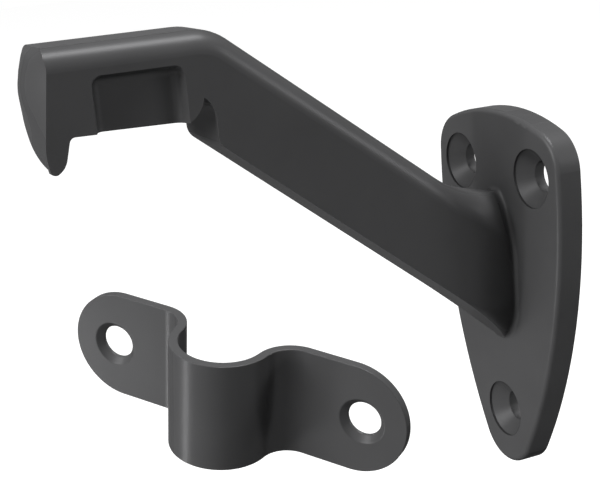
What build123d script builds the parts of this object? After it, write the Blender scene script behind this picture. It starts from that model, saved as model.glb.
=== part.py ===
"""Handrail bracket: a cast wall bracket with a saddle bar, and the folded strap that holds the rail to it.

Millimetres, +Z up. The wall is the plane X = 0, the arm reaches out along -X, and the rail runs along Y.
The origin is on the back of the wall plate, midway between its two upper screw holes.
"""
from build123d import *
from math import atan, cos, exp, radians, sin, sqrt, tan
import os

# Wall plate: a shield with a wide round top and a round point below
PLATE_THICKNESS = 5.0
PLATE_WIDTH = 40.4
PLATE_CROWN_HEIGHT = 11.3
PLATE_CROWN_RADIUS = 44.0
PLATE_WIDEST_HEIGHT = -4.0
PLATE_SIDE_RADIUS = 105.0
PLATE_SHOULDER_RADIUS = 7.5
PLATE_POINT_RADIUS = 8.0
PLATE_EDGE_FILLET = 0.9

# Wall screw holes, countersunk on the front with a short straight lip
WALL_HOLE_SPACING = 23.8
WALL_HOLE_DROP = 48.2
WALL_HOLE_DIAMETER = 6.0
WALL_SINK_DIAMETER = 11.0
SINK_LIP = 0.5
SINK_HALF_ANGLE = 45.0

# Saddle bar and sloped arm, one casting of constant width
BODY_WIDTH = 15.5
RAIL_REACH = 74.65
BAR_TOP = 33.2
BAR_HEIGHT = 14.0
BAR_DEEPENING = 0.6
ELBOW_SETBACK = 13.75
ELBOW_RADIUS = 10.0
ARM_ROOT_HEIGHT = -10.47
ARM_KNEE_DEPTH = 15.55
ARM_ROOT_DEPTH = 16.7
TOP_EDGE_FILLET = 3.8
KNEE_RADIUS = 3.0

# Relief behind the strap seat: an upright wall that curls over into the bar's rounded corner
RELIEF_SETBACK = 12.45
RELIEF_WIDTH = 4.75
RELIEF_APEX_OFFSET = 1.85
RELIEF_RISE = 3.8
CHEEK_RADIUS = 5.8

# Root of the arm: its top sweeps up and its section narrows from the plain arm into a pointed arch on the plate
ROOT_LENGTH = 15.0
ROOT_RISE = 6.4
ROOT_RISE_POWER = 1.6
ROOT_DROP = 1.6
ROOT_ARCH_POWER = 2.5
ROOT_WIDTH = 12.0
ROOT_CREST_WIDTH = 1.0
ROOT_SOLE_WIDTH = 1.2
ROOT_SIDE_HEIGHT = 3.2
ROOT_FOOT_HEIGHT = 10.3
ROOT_ARCH_WEIGHT = 0.3
ROOT_FOOT_WEIGHT = 0.5
ROOT_LEAST_ROUNDING = 0.05
ROOT_SECTIONS = 9
ROOT_FILLET = 0.8

# Nose at the outer end of the bar
NOSE_OVERHANG = 14.05
NOSE_RAKE = 7.8
NOSE_BULGE = 2.25
NOSE_FULL_DROP = 6.2
NOSE_UPPER_HEIGHT = 6.15
NOSE_LOWER_HEIGHT = 5.6
NOSE_LEAST_BULGE = 0.2
NOSE_SECTIONS = 23

# Tooth under the nose, with a leaning inner flank that curves round to its tip
TOOTH_LENGTH = 5.6
TOOTH_THICKNESS = 3.9
TOOTH_LEAN = 15.0
TOOTH_STRAIGHT = 3.4
TOOTH_TIP_SETBACK = 0.8
TOOTH_TIP_RADIUS = 0.8
TOOTH_ROOT_FILLET = 1.0
TOE_HEIGHT = 4.9
TOE_RADIUS = 10.9
TOE_ROUNDING = 1.0

# Curved cut that narrows the tooth from its far side to a point on its near side
FLANK_DROP = 8.2
FLANK_LIP = 1.0
FLANK_SAG = 2.0
FLANK_INSET = 1.5
FLANK_SPREAD = 0.8

# Rail strap: one folded strip with two round-ended flanges
STRAP_WIDTH = 14.6
STRAP_THICKNESS = 1.5
STRAP_HOLE_SPACING = 35.2
STRAP_END_INSET = 1.0
STRAP_FOLD_DEPTH = 8.6
STRAP_FLANGE_BEND = 2.3
STRAP_HOLE_DIAMETER = 4.4
STRAP_SINK_DIAMETER = 6.0
STRAP_SINK_LIP = 0.1

# Strap seat, a recess in both sides of the bar that takes the strap's fold
SEAT_SIDE_CLEARANCE = 0.25
SEAT_END_CLEARANCE = 0.5
SEAT_TOP_DROP = 5.0
SEAT_DRAFT = 21.0
SEAT_CORNER_RADIUS = 1.8
SEAT_FLOOR_BLEND = 1.6

# Where the loose strap is shown, beside the bracket
STRAP_REACH = 83.9
STRAP_SIDE = 60.9
STRAP_DROP = 5.6
STRAP_HEADING = -52.2
STRAP_DIP = 11.1
STRAP_LEAN = 6.3

# How far cutting tools reach past the surface they cut
OVERCUT = 2.0

# Distance within which two places count as the same
TOLERANCE = 0.01

# The short straight left between the two bends of the strap's fold, which a fillet needs
LEAST_STRAIGHT = 0.02

half_width = BODY_WIDTH / 2
bar_bottom = BAR_TOP - BAR_HEIGHT
bar_foot = bar_bottom - BAR_DEEPENING
tooth_tip_height = bar_bottom - TOOTH_LENGTH
plate_face = -PLATE_THICKNESS
root_start = plate_face - ROOT_LENGTH
elbow_reach = RAIL_REACH - ELBOW_SETBACK
knee_reach = RAIL_REACH - RELIEF_SETBACK
slope = (BAR_TOP - ARM_ROOT_HEIGHT) / (elbow_reach + plate_face)
slope_cosine = cos(atan(slope))


def arm_top_height(x):
    """Height of the arm's straight top line at x."""
    return BAR_TOP - slope * (x + elbow_reach)


def arm_bottom_height(x):
    """Height of the arm's straight underside at x: the arm deepens from the knee to the plate."""
    share = (x + knee_reach) / (knee_reach + plate_face)
    depth = between(ARM_KNEE_DEPTH, ARM_ROOT_DEPTH, share)
    return arm_top_height(x) - depth / slope_cosine


def between(start, end, share):
    """The value that lies the given share of the way from start to end."""
    return start + (end - start) * share


def nose_line(z):
    """X of the nose's side edge at height z: raked, its foot further out, and curved in at the tooth's toe."""
    below_toe_top = max(0, tooth_tip_height + TOE_HEIGHT - z)
    toe_curve = below_toe_top**2 / (2 * TOE_RADIUS)
    return -RAIL_REACH - NOSE_OVERHANG - (BAR_TOP - z) * tan(radians(NOSE_RAKE)) + toe_curve


def countersink_cutter(hole_diameter, sink_diameter, lip, length):
    """Screw hole along -Z with its countersink at the origin, open above."""
    hole = hole_diameter / 2
    sink = sink_diameter / 2
    cone_end = lip + (sink - hole) / tan(radians(SINK_HALF_ANGLE))
    above = 3 * OVERCUT
    rim = [(0, above), (sink, above), (sink, -lip)]
    outline = Polyline(*rim, (hole, -cone_end), (hole, -length), (0, -length), close=True)
    return revolve(Plane.XZ * make_face(outline), Axis.Z)


def wall_plate():
    """Shield-shaped plate without its holes."""
    side_offset = PLATE_SIDE_RADIUS - PLATE_WIDTH / 2
    side_circle = Circle(PLATE_SIDE_RADIUS)
    outline = Pos(-side_offset, PLATE_WIDEST_HEIGHT) * side_circle
    outline &= Pos(side_offset, PLATE_WIDEST_HEIGHT) * side_circle
    outline &= Pos(0, PLATE_CROWN_HEIGHT - PLATE_CROWN_RADIUS) * Circle(PLATE_CROWN_RADIUS)
    corners = outline.vertices().sort_by(Axis.Y)
    point = corners[0]
    outline = fillet(point, PLATE_POINT_RADIUS)
    shoulders = outline.vertices().sort_by(Axis.Y)[-2:]
    outline = fillet(shoulders, PLATE_SHOULDER_RADIUS)
    plate = extrude(Plane.YZ.offset(-PLATE_THICKNESS) * outline, PLATE_THICKNESS)
    front_rim = plate.faces().sort_by(Axis.X)[0].edges()
    return fillet(front_rim, PLATE_EDGE_FILLET)


def tooth_outline(nose_top):
    """Side outline of the tooth, from its root under the bar round its tip and up the nose."""
    lean = radians(TOOTH_LEAN)
    root = Vector(nose_line(bar_bottom) + TOOTH_THICKNESS, bar_bottom)
    down = Vector(-sin(lean), -cos(lean))
    straight_end = root + down * (TOOTH_STRAIGHT / cos(lean))
    tip = (nose_line(tooth_tip_height) + TOOTH_TIP_SETBACK, tooth_tip_height)
    toe_height = tooth_tip_height + TOE_ROUNDING
    toe = (nose_line(toe_height) - 2 * NOSE_LEAST_BULGE, toe_height)
    nose_foot = (nose_line(bar_bottom) - 2 * NOSE_BULGE, bar_bottom)
    edges = [
        Line(root, straight_end),
        TangentArc(straight_end, tip, tangent=down),
        TangentArc(tip, toe, tangent=(-1, 0)),
        Polyline(toe, nose_foot, nose_top),
    ]
    return (root.X, root.Y), tip, edges


def body_outline():
    """Side outline of the bar, tooth, elbow and plain arm, as a face in the XZ plane."""
    nose_top = (nose_line(BAR_TOP) - 2 * NOSE_BULGE, BAR_TOP)
    elbow = (-elbow_reach, BAR_TOP)
    knee = (-knee_reach, arm_bottom_height(-knee_reach))
    relief_start = (-knee_reach, bar_foot)
    apex = (-knee_reach - RELIEF_APEX_OFFSET, bar_foot + RELIEF_RISE)
    bar_start = (-knee_reach - RELIEF_WIDTH, bar_foot)
    tooth_root, tooth_tip, tooth_edges = tooth_outline(nose_top)
    edges = [
        Polyline(
            nose_top,
            elbow,
            (root_start, arm_top_height(root_start)),
            (root_start, arm_bottom_height(root_start)),
            knee,
            relief_start,
        ),
        TangentArc(relief_start, apex, tangent=(0, 1)),
        RadiusArc(apex, bar_start, CHEEK_RADIUS),
        Line(bar_start, tooth_root),
    ]
    face = make_face(edges + tooth_edges)
    for place, radius in (
        (elbow, ELBOW_RADIUS),
        (knee, KNEE_RADIUS),
        (tooth_root, TOOTH_ROOT_FILLET),
        (tooth_tip, TOOTH_TIP_RADIUS),
    ):
        corner = face.vertices().sort_by_distance((place[0], place[1], 0))[0]
        face = fillet(corner, radius)
    return Plane.XZ * face


def root_section(x):
    """Section of the arm's root at x: the plain arm's at the root's start, a pointed arch at the plate."""
    share = max(0, (x - root_start) / ROOT_LENGTH)
    ease = share**ROOT_ARCH_POWER
    top = arm_top_height(x) + ROOT_RISE * share**ROOT_RISE_POWER
    foot = arm_bottom_height(x) - ROOT_DROP * ease
    half = between(half_width, ROOT_WIDTH / 2, ease)
    crest = between(half_width - TOP_EDGE_FILLET, ROOT_CREST_WIDTH / 2, ease)
    sole = between(half_width - ROOT_LEAST_ROUNDING, ROOT_SOLE_WIDTH / 2, ease)
    lower = between(ROOT_LEAST_ROUNDING, ROOT_FOOT_HEIGHT, ease)
    upper = between(TOP_EDGE_FILLET / slope_cosine, top - foot - ROOT_SIDE_HEIGHT - ROOT_FOOT_HEIGHT, ease)
    quarter_turn = sqrt(0.5)
    arch_weight = between(quarter_turn, ROOT_ARCH_WEIGHT, ease)
    foot_weight = between(quarter_turn, ROOT_FOOT_WEIGHT, ease)
    edges = [Line((-sole, foot), (sole, foot)), Line((crest, top), (-crest, top))]
    for side in (-1, 1):
        outer = side * half
        shoulder = (outer, top - upper)
        haunch = (outer, foot + lower)
        edges += [
            Bezier((side * sole, foot), (outer, foot), haunch, weights=[1, foot_weight, 1]),
            Line(haunch, shoulder),
            Bezier(shoulder, (outer, top), (side * crest, top), weights=[1, arch_weight, 1]),
        ]
    return Plane.YZ.offset(x) * make_face(edges)


def arm_root():
    """Root of the arm, which sweeps out into a pointed arch and runs on into the plate."""
    steps = ROOT_SECTIONS - 1
    sections = [root_section(root_start + ROOT_LENGTH * index / steps) for index in range(ROOT_SECTIONS)]
    return loft(sections) + extrude(sections[-1], PLATE_THICKNESS - OVERCUT / 2, dir=(1, 0, 0))


def nose_bulge(z):
    """How far the nose's middle stands out from its side edges at height z."""
    rise = z - (BAR_TOP - NOSE_FULL_DROP)
    if rise > 0:
        share = sqrt(max(0, 1 - (rise / NOSE_UPPER_HEIGHT) ** 2))
    else:
        share = exp(-((rise / NOSE_LOWER_HEIGHT) ** 2))
    return between(NOSE_LEAST_BULGE, NOSE_BULGE, share)


def nose_envelope():
    """Space inside the nose: a stack of round-fronted sections, bulging most near the bar's mid height."""
    side = half_width + OVERCUT / 4
    back = -RAIL_REACH - NOSE_OVERHANG / 3
    low = tooth_tip_height - OVERCUT
    high = BAR_TOP + OVERCUT
    sections = []
    for index in range(NOSE_SECTIONS):
        z = between(low, high, index / (NOSE_SECTIONS - 1))
        bulge = nose_bulge(z)
        radius = (half_width**2 + bulge**2) / (2 * bulge)
        front = nose_line(z) - bulge
        front_side = front + radius - sqrt(radius**2 - side**2)
        outline = [
            ThreePointArc((front_side, -side), (front, 0), (front_side, side)),
            Polyline((front_side, side), (back, side), (back, -side), (front_side, -side)),
        ]
        sections.append(Pos(0, 0, z) * make_face(outline))
    return loft(sections)


def nose_waste():
    """What the nose's rounded front takes off the outer end of the bar."""
    envelope = nose_envelope()
    box = envelope.bounding_box()
    block_end = -RAIL_REACH - NOSE_OVERHANG / 2
    block_start = box.min.X - 5 * OVERCUT
    block = Pos((block_start + block_end) / 2, 0, (box.min.Z + box.max.Z) / 2) * Box(
        block_end - block_start, BODY_WIDTH + OVERCUT / 2, box.size.Z - OVERCUT
    )
    return block - envelope


def tooth_flank_waste():
    """Curved cut that narrows the tooth from its far side down to its point."""
    nose_front = nose_line(tooth_tip_height)
    start_x = nose_front - 3 * OVERCUT
    shift = (start_x - nose_front) * FLANK_SPREAD
    top = Vector(half_width, BAR_TOP - FLANK_DROP)
    point = Vector(-half_width + FLANK_INSET, tooth_tip_height + FLANK_LIP)
    chord = point - top
    middle = (top + point) / 2 + Vector(-chord.Y, chord.X).normalized() * FLANK_SAG
    outside = half_width + 10 * OVERCUT
    below = tooth_tip_height - 5 * OVERCUT
    outline = [
        ThreePointArc(top, middle, point),
        Polyline(point, (point.X, below), (outside, below), (outside, top.Y), top),
    ]
    start = Plane.YZ.offset(start_x) * Pos(shift, 0) * make_face(outline)
    return extrude(start, 20 * OVERCUT, dir=Vector(1, FLANK_SPREAD, 0))


def strap_inner_radius():
    """Radius of the strap's fold on its inner side."""
    return (STRAP_FOLD_DEPTH - STRAP_FLANGE_BEND) - STRAP_THICKNESS / 2


def seat_waste():
    """Recess for the strap in the bar's -Y side, with drafted walls and a blended top."""
    length = STRAP_WIDTH + 2 * SEAT_END_CLEARANCE
    floor = strap_inner_radius() - SEAT_SIDE_CLEARANCE
    depth = half_width - floor
    top = BAR_TOP - SEAT_TOP_DROP
    foot = bar_foot - 2 * OVERCUT
    mouth = Pos(-RAIL_REACH, (top + foot) / 2) * RectangleRounded(length, top - foot, SEAT_CORNER_RADIUS)
    mouth_plane = Plane(origin=(0, -half_width, 0), x_dir=(1, 0, 0), z_dir=(0, 1, 0))
    mouth = mirror(mouth, Plane.XZ)
    recess = extrude(mouth_plane * mouth, depth, taper=SEAT_DRAFT)
    floor_rim = recess.faces().sort_by(Axis.Y)[-1].edges()
    recess = fillet(floor_rim.sort_by(Axis.Z)[-1], SEAT_FLOOR_BLEND)
    return recess + extrude(mouth_plane * mouth, -OVERCUT)


def saddle_body():
    """Bar, tooth, elbow and plain arm before they are cut to shape and join the root."""
    body = extrude(body_outline(), half_width, both=True)

    def on_top(edge):
        middle = edge @ 0.5
        crest = min(BAR_TOP, arm_top_height(middle.X))
        along_side = abs(abs(middle.Y) - half_width) < TOLERANCE
        return along_side and middle.Z > crest - TOP_EDGE_FILLET and middle.X < root_start - TOLERANCE

    return fillet([edge for edge in body.edges() if on_top(edge)], TOP_EDGE_FILLET)


def bracket_casting():
    """The whole casting: plate, arm and bar with their blends, strap seat and screw holes."""
    casting = wall_plate() + arm_root() + saddle_body()
    root_foot = arm_bottom_height(plate_face) - ROOT_DROP

    def at_root(edge):
        middle = edge @ 0.5
        on_plate = abs(middle.X - plate_face) < TOLERANCE
        across = abs(middle.Y) < half_width + TOLERANCE
        return on_plate and across and root_foot - TOLERANCE < middle.Z < 0

    root_edges = [edge for edge in casting.edges() if at_root(edge)]
    casting = fillet(root_edges, ROOT_FILLET)
    casting -= nose_waste()
    casting -= tooth_flank_waste()
    seat = seat_waste()
    casting -= seat
    casting -= mirror(seat, Plane.XZ)
    cutter = countersink_cutter(WALL_HOLE_DIAMETER, WALL_SINK_DIAMETER, SINK_LIP, PLATE_THICKNESS + OVERCUT)
    for y, z in ((-WALL_HOLE_SPACING / 2, 0), (WALL_HOLE_SPACING / 2, 0), (0, -WALL_HOLE_DROP)):
        seat_plane = Plane(origin=(plate_face, y, z), x_dir=(0, 1, 0), z_dir=(-1, 0, 0))
        casting -= seat_plane * cutter
    return casting


def rail_strap():
    """The folded strip, lying on its flanges in the XY plane with its fold rising along +Z."""
    half_fold = strap_inner_radius() + STRAP_THICKNESS / 2
    reach = STRAP_HOLE_SPACING / 2 + STRAP_WIDTH
    level = -STRAP_THICKNESS / 2
    crown = level + STRAP_FOLD_DEPTH
    path = FilletPolyline(
        (-reach, level),
        (-half_fold, level),
        (-half_fold, crown),
        (half_fold, crown),
        (half_fold, level),
        (reach, level),
        radius=(STRAP_FLANGE_BEND, half_fold - LEAST_STRAIGHT, half_fold - LEAST_STRAIGHT, STRAP_FLANGE_BEND),
    )
    section = Plane.XZ * trace(path, STRAP_THICKNESS)
    strip = extrude(section, STRAP_WIDTH / 2, both=True)
    plan = SlotCenterToCenter(STRAP_HOLE_SPACING - 2 * STRAP_END_INSET, STRAP_WIDTH)
    strip &= extrude(Pos(0, 0, level - OVERCUT) * plan, crown + 3 * OVERCUT)
    length = STRAP_THICKNESS + OVERCUT
    cutter = countersink_cutter(STRAP_HOLE_DIAMETER, STRAP_SINK_DIAMETER, STRAP_SINK_LIP, length)
    for x in (-STRAP_HOLE_SPACING / 2, STRAP_HOLE_SPACING / 2):
        strip -= Pos(x, 0, 0) * cutter
    return strip


def strap_place():
    """Location that stands the loose strap on its long edge beside the bracket."""
    turn = Rot(Z=STRAP_HEADING) * Rot(Y=STRAP_DIP) * Rot(X=90 + STRAP_LEAN)
    return Pos(-STRAP_REACH, -STRAP_SIDE, -STRAP_DROP) * turn


os.makedirs("parts", exist_ok=True)
export_step(bracket_casting(), "parts/bracket_casting.step")
export_step(strap_place() * rail_strap(), "parts/rail_strap.step")
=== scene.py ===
"""Handrail bracket in a white studio: the camera, the lamps, the satin coating and the strap's thin sheet."""
import math

import bmesh
import bpy
from mathutils import Matrix, Vector

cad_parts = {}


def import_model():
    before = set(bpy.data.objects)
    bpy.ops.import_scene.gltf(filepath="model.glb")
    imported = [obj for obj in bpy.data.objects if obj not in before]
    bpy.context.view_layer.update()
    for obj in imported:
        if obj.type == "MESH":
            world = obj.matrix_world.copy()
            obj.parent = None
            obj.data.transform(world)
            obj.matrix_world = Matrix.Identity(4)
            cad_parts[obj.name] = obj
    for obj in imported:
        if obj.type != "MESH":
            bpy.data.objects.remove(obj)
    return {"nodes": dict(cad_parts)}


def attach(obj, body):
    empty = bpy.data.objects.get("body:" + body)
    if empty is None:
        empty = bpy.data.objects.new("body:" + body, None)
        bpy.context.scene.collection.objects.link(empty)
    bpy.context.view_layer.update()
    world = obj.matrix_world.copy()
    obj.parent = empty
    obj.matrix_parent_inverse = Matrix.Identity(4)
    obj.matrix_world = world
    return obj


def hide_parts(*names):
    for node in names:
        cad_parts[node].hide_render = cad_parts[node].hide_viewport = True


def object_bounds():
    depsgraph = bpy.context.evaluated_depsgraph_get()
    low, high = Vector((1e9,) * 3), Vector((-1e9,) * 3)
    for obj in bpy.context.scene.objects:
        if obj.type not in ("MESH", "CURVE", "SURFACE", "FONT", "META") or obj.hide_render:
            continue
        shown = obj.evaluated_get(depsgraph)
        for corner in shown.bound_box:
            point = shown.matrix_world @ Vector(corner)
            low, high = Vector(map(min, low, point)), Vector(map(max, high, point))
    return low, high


MM = 0.001

# The camera's place and direction, in the object's frame
CAMERA_PLACE = Vector((-137.6, -208.5, 52.6)) * MM
CAMERA_HEADING = math.radians(23.68)
CAMERA_TILT = math.radians(-14.94)
CAMERA_ROLL = math.radians(-4.83)
CAMERA_LENS = 79.6
CAMERA_NEAR = 1 * MM
CAMERA_FAR = 100.0

# The floor lies well below the bracket, which a wall holds up
FLOOR_DROP = 90 * MM
FLOOR_SIZE = 6.0
FLOOR_COLOUR = (0.18, 0.18, 0.18, 1)
FLOOR_GLOW = 0.97

# Lamps: name, direction that the lamp stands in, distance, width and height in metres, strength in watts
LAMPS = (
    ("key", (-0.89, -0.02, 0.45), 2.00, 1.33, 1.33, 68.0),
    ("top", (0.24, -0.05, 0.97), 0.80, 0.32, 0.32, 11.0),
    ("fill", (-0.30, -0.95, 0.10), 1.00, 0.50, 0.50, 0.6),
    ("right", (0.80, -0.50, 0.33), 0.90, 0.24, 0.24, 3.2),
    ("low", (-0.88, 0.16, -0.42), 0.268, 0.03, 0.10, 0.36),
)
WHITE = (1, 1, 1, 1)
WORLD_LIGHT = 0.02

# Satin black coating, a little glossier on the folded sheet than on the casting
COATING_DARK = (0.048, 0.048, 0.049, 1)
COATING_LIGHT = (0.060, 0.060, 0.061, 1)
COATING_METALLIC = 0.18
COATING_EDGE_TINT = (0.25, 0.25, 0.25, 1)
CASTING_ROUGHNESS = (0.32, 0.39)
STRAP_ROUGHNESS = (0.27, 0.33)
CASTING_SHIFT = (0, 0, 0)
STRAP_SHIFT = (3, 3, 3)
MOTTLE_SCALE = 90
MOTTLE_DETAIL = 4
PEEL_SCALE = 1400
PEEL_DETAIL = 2
PEEL_STRENGTH = 0.08
PEEL_DEPTH = 0.02 * MM

# The strap's own frame is the CAD's: X along its length, Y across it, and the fold rises along Z.
# Its lengths are in millimetres, and the level and crown are those of the middle of the sheet.
STRAP_PLACE = (-83.9, -60.9, -5.6)
STRAP_TURNS = (("Z", -52.2), ("Y", 11.1), ("X", 96.3))
STRAP_THICKNESS = 1.2
STRAP_LEVEL = -1.15
STRAP_CROWN = 8.2
FOLD_RADIUS = 6.0
BEND_RADIUS = 4.2
STRAP_HALF_WIDTH = 7.3
STRAP_END_CENTRE = 16.6
STRAP_HOLES = (-17.85, 17.95)
STRAP_HOLE_RADIUS = 2.2
STRAP_SINK_RADIUS = 3.0

# The strip is made longer and wider than the strap, and then cut to its plan
STRIP_REACH = 26.0
STRIP_HALF_WIDTH = STRAP_HALF_WIDTH + 1
PLAN_BOTTOM = -8.0
PLAN_HEIGHT = 20.0
CUTTER_REACH = 4.0
ARC_STEPS = 48

# Edges of the sheet
EDGE_WIDTH = 0.12
EDGE_SEGMENTS = 2
CREASE_ANGLE = math.radians(30)
FLAT_FACE_WEIGHT = 100


def camera():
    """The camera at the photograph's viewing angle."""
    data = bpy.data.cameras.new("camera")
    data.lens = CAMERA_LENS
    data.clip_start = CAMERA_NEAR
    data.clip_end = CAMERA_FAR
    rig = bpy.data.objects.new("camera", data)
    heading = Matrix.Rotation(-CAMERA_HEADING, 4, "Z")
    tilt = Matrix.Rotation(math.pi / 2 + CAMERA_TILT, 4, "X")
    roll = Matrix.Rotation(CAMERA_ROLL, 4, "Z")
    rig.matrix_world = Matrix.Translation(CAMERA_PLACE) @ heading @ tilt @ roll
    bpy.context.collection.objects.link(rig)
    bpy.context.scene.camera = rig


def lamp(name, direction, distance, width, height, watts, target):
    """A soft rectangular lamp that looks at the target."""
    data = bpy.data.lights.new(name, "AREA")
    data.shape = "RECTANGLE"
    data.size = width
    data.size_y = height
    data.energy = watts
    stand = bpy.data.objects.new(name, data)
    away = Vector(direction).normalized()
    stand.location = target + away * distance
    stand.rotation_euler = away.to_track_quat("Z", "Y").to_euler()
    bpy.context.collection.objects.link(stand)


def seen_white(tree):
    """Factor that is 1 where the camera, a gloss or a clear surface looks, and 0 where light is gathered."""
    path = tree.nodes.new("ShaderNodeLightPath")
    factor = path.outputs["Is Camera Ray"]
    for ray in ("Is Glossy Ray", "Is Transmission Ray"):
        either = tree.nodes.new("ShaderNodeMath")
        either.operation = "MAXIMUM"
        tree.links.new(factor, either.inputs[0])
        tree.links.new(path.outputs[ray], either.inputs[1])
        factor = either.outputs[0]
    return factor


def world():
    """White where it is seen, and an even dim light where it is not."""
    surroundings = bpy.data.worlds.new("studio")
    surroundings.use_nodes = True
    tree = surroundings.node_tree
    background = tree.nodes["Background"]
    background.inputs["Color"].default_value = WHITE
    level = tree.nodes.new("ShaderNodeMapRange")
    level.inputs["To Min"].default_value = WORLD_LIGHT
    level.inputs["To Max"].default_value = 1.0
    tree.links.new(seen_white(tree), level.inputs["Value"])
    tree.links.new(level.outputs["Result"], background.inputs["Strength"])
    bpy.context.scene.world = surroundings


def floor_white():
    """Matt grey that glows white where it is seen."""
    material = bpy.data.materials.new("floor_white")
    material.use_nodes = True
    tree = material.node_tree
    shader = tree.nodes["Principled BSDF"]
    shader.inputs["Base Color"].default_value = FLOOR_COLOUR
    shader.inputs["Roughness"].default_value = 1.0
    shader.inputs["Specular IOR Level"].default_value = 0.0
    shader.inputs["Emission Color"].default_value = WHITE
    glow = tree.nodes.new("ShaderNodeMath")
    glow.operation = "MULTIPLY"
    glow.inputs[1].default_value = FLOOR_GLOW
    tree.links.new(seen_white(tree), glow.inputs[0])
    tree.links.new(glow.outputs[0], shader.inputs["Emission Strength"])
    return material


def floor(height):
    """Flat floor that shows white and keeps the object's soft shadow."""
    mesh = bpy.data.meshes.new("floor")
    half = FLOOR_SIZE / 2
    corners = [(x * half, y * half, height) for x, y in ((-1, -1), (1, -1), (1, 1), (-1, 1))]
    mesh.from_pydata(corners, [], [(0, 1, 2, 3)])
    mesh.materials.append(floor_white())
    sheet = bpy.data.objects.new("floor", mesh)
    bpy.context.collection.objects.link(sheet)


def noise(tree, place, scale, detail):
    """Noise texture in the object's own space."""
    texture = tree.nodes.new("ShaderNodeTexNoise")
    texture.inputs["Scale"].default_value = scale
    texture.inputs["Detail"].default_value = detail
    tree.links.new(place, texture.inputs["Vector"])
    return texture.outputs["Fac"]


def coating(name, roughness, offset):
    """Satin black coating: a slight mottle in colour and gloss, and a fine orange peel."""
    material = bpy.data.materials.new(name)
    material.use_nodes = True
    tree = material.node_tree
    shader = tree.nodes["Principled BSDF"]
    shader.inputs["Metallic"].default_value = COATING_METALLIC
    shader.inputs["Specular IOR Level"].default_value = 0.0
    shader.inputs["Specular Tint"].default_value = COATING_EDGE_TINT
    place = tree.nodes.new("ShaderNodeTexCoord")
    shift = tree.nodes.new("ShaderNodeMapping")
    shift.inputs["Location"].default_value = offset
    tree.links.new(place.outputs["Object"], shift.inputs["Vector"])

    mottle = noise(tree, shift.outputs["Vector"], MOTTLE_SCALE, MOTTLE_DETAIL)
    colour = tree.nodes.new("ShaderNodeMix")
    colour.data_type = "RGBA"
    colour.inputs["A"].default_value = COATING_DARK
    colour.inputs["B"].default_value = COATING_LIGHT
    tree.links.new(mottle, colour.inputs["Factor"])
    tree.links.new(colour.outputs["Result"], shader.inputs["Base Color"])

    gloss = tree.nodes.new("ShaderNodeMapRange")
    gloss.inputs["To Min"].default_value = roughness[0]
    gloss.inputs["To Max"].default_value = roughness[1]
    tree.links.new(mottle, gloss.inputs["Value"])
    tree.links.new(gloss.outputs["Result"], shader.inputs["Roughness"])

    bump = tree.nodes.new("ShaderNodeBump")
    bump.inputs["Strength"].default_value = PEEL_STRENGTH
    bump.inputs["Distance"].default_value = PEEL_DEPTH
    peel = noise(tree, shift.outputs["Vector"], PEEL_SCALE, PEEL_DETAIL)
    tree.links.new(peel, bump.inputs["Height"])
    tree.links.new(bump.outputs["Normal"], shader.inputs["Normal"])
    return material


def arc(centre_x, centre_z, radius, start, end):
    """Points along an arc and the directions away from its centre, angles in degrees."""
    for step in range(ARC_STEPS + 1):
        angle = math.radians(start + (end - start) * step / ARC_STEPS)
        way = (math.cos(angle), math.sin(angle))
        yield (centre_x + radius * way[0], centre_z + radius * way[1]), way


def bend(centre_x, centre_z, start, end):
    """A flange's bend, whose upper side is the one that faces the arc's centre."""
    for place, (way_x, way_z) in arc(centre_x, centre_z, BEND_RADIUS, start, end):
        yield place, (-way_x, -way_z)


def strap_section():
    """Side outline of the folded strip: along its upper face to the right, then back along the lower."""
    bend_height = STRAP_LEVEL + BEND_RADIUS
    fold_height = STRAP_CROWN - FOLD_RADIUS
    rise = bend_height - fold_height
    bend_side = math.sqrt((FOLD_RADIUS + BEND_RADIUS) ** 2 - rise**2)
    lean = math.degrees(math.atan2(rise, bend_side))
    line = [((-STRIP_REACH, STRAP_LEVEL), (0.0, 1.0))]
    line += bend(-bend_side, bend_height, -90, -lean)
    line += list(arc(0.0, fold_height, FOLD_RADIUS, 180 - lean, lean))[1:-1]
    line += bend(bend_side, bend_height, 180 + lean, 270)
    line.append(((STRIP_REACH, STRAP_LEVEL), (0.0, 1.0)))
    half = STRAP_THICKNESS / 2
    upper = [(x + way_x * half, z + way_z * half) for (x, z), (way_x, way_z) in line]
    lower = [(x - way_x * half, z - way_z * half) for (x, z), (way_x, way_z) in line]
    return upper + lower[::-1]


def strap_plan():
    """Outline of the strap from above, with its round ends."""
    right = [place for place, _ in arc(STRAP_END_CENTRE, 0.0, STRAP_HALF_WIDTH, -90, 90)]
    return right + [(-x, -y) for x, y in right]


def solid(name, shape):
    """Object from a bmesh, with all faces turned outwards."""
    bmesh.ops.recalc_face_normals(shape, faces=shape.faces)
    mesh = bpy.data.meshes.new(name)
    shape.to_mesh(mesh)
    shape.free()
    made = bpy.data.objects.new(name, mesh)
    bpy.context.collection.objects.link(made)
    return made


def prism(name, corners, direction):
    """Closed solid: a flat outline pushed along a direction."""
    shape = bmesh.new()
    base = shape.faces.new([shape.verts.new(corner) for corner in corners])
    moved = bmesh.ops.extrude_face_region(shape, geom=[base])["geom"]
    corners_moved = [item for item in moved if isinstance(item, bmesh.types.BMVert)]
    bmesh.ops.translate(shape, vec=direction, verts=corners_moved)
    return solid(name, shape)


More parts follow.
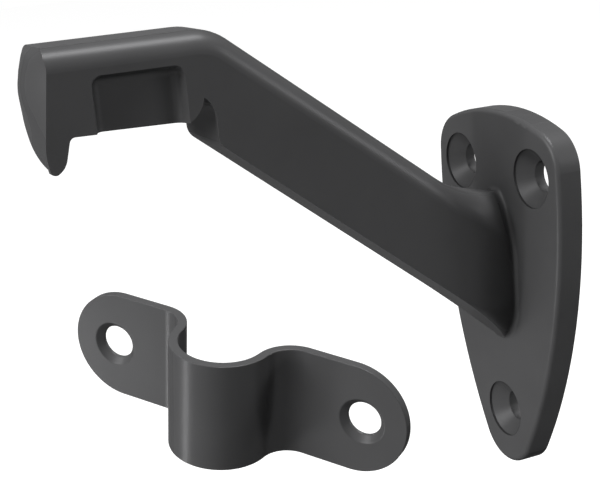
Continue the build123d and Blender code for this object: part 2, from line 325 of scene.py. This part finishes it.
def countersink(x):
    """Cutter for one screw hole, with its cone at the strap's upper face."""
    face = STRAP_LEVEL + STRAP_THICKNESS / 2
    depth = STRAP_SINK_RADIUS - STRAP_HOLE_RADIUS
    rows = (
        (STRAP_HOLE_RADIUS, face - CUTTER_REACH),
        (STRAP_HOLE_RADIUS, face - depth),
        (STRAP_SINK_RADIUS, face),
        (STRAP_SINK_RADIUS, face + CUTTER_REACH),
    )
    shape = bmesh.new()
    rings = []
    for radius, height in rows:
        round_points = list(arc(x, 0.0, radius, 0, 360))[:-1]
        rings.append([shape.verts.new((*place, height)) for place, _ in round_points])
    for low_ring, high_ring in zip(rings, rings[1:]):
        for step in range(ARC_STEPS):
            after = (step + 1) % ARC_STEPS
            shape.faces.new((low_ring[step], low_ring[after], high_ring[after], high_ring[step]))
    shape.faces.new(rings[0])
    shape.faces.new(rings[-1])
    return solid("countersink", shape)


def cut(body, tool, operation):
    """Boolean step between a solid and a tool."""
    step = body.modifiers.new(operation, "BOOLEAN")
    step.object = tool
    step.operation = operation
    step.solver = "EXACT"


def soften(body):
    """Small rounded edges, and shading that keeps the flat faces even."""
    edges = body.modifiers.new("edges", "BEVEL")
    edges.width = EDGE_WIDTH
    edges.segments = EDGE_SEGMENTS
    edges.limit_method = "ANGLE"
    edges.angle_limit = CREASE_ANGLE
    body.modifiers.new("normals", "WEIGHTED_NORMAL").weight = FLAT_FACE_WEIGHT
    body.data.polygons.foreach_set("use_smooth", [True] * len(body.data.polygons))


def apply_modifiers(body):
    """Makes the outcome of the modifiers the object's own mesh."""
    graph = bpy.context.evaluated_depsgraph_get()
    mesh = bpy.data.meshes.new_from_object(body.evaluated_get(graph))
    body.modifiers.clear()
    body.data = mesh


def strap_place():
    """Matrix from the strap's own millimetres to its place beside the bracket."""
    turn = Matrix.Identity(4)
    for axis, angle in STRAP_TURNS:
        turn = turn @ Matrix.Rotation(math.radians(angle), 4, axis)
    return Matrix.Scale(MM, 4) @ Matrix.Translation(STRAP_PLACE) @ turn


def strap_sheet():
    """The folded strap with its thin sheet and wide bends, standing where the CAD strap stands."""
    side = [(x, -STRIP_HALF_WIDTH, z) for x, z in strap_section()]
    strip = prism("strap_sheet", side, (0, 2 * STRIP_HALF_WIDTH, 0))
    plan = prism("plan", [(x, y, PLAN_BOTTOM) for x, y in strap_plan()], (0, 0, PLAN_HEIGHT))
    cutters = [countersink(x) for x in STRAP_HOLES]
    cut(strip, plan, "INTERSECT")
    for cutter in cutters:
        cut(strip, cutter, "DIFFERENCE")
    soften(strip)
    apply_modifiers(strip)
    for tool in [plan] + cutters:
        bpy.data.objects.remove(tool)
    strip.data.transform(strap_place())
    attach(strip, "root")
    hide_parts("rail_strap")
    return strip


def dress(node, material):
    """Gives a CAD node its finished material."""
    for slot in node.material_slots:
        slot.material = material


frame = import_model()
cad_low, cad_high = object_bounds()
centre = (cad_low + cad_high) / 2

camera()
world()
floor(cad_low.z - FLOOR_DROP)
for name, direction, distance, width, height, watts in LAMPS:
    lamp(name, direction, distance, width, height, watts, centre)

dress(frame["nodes"]["bracket_casting"], coating("casting_coating", CASTING_ROUGHNESS, CASTING_SHIFT))
strap_sheet().data.materials.append(coating("strap_coating", STRAP_ROUGHNESS, STRAP_SHIFT))

bpy.context.scene.view_settings.view_transform = "Standard"
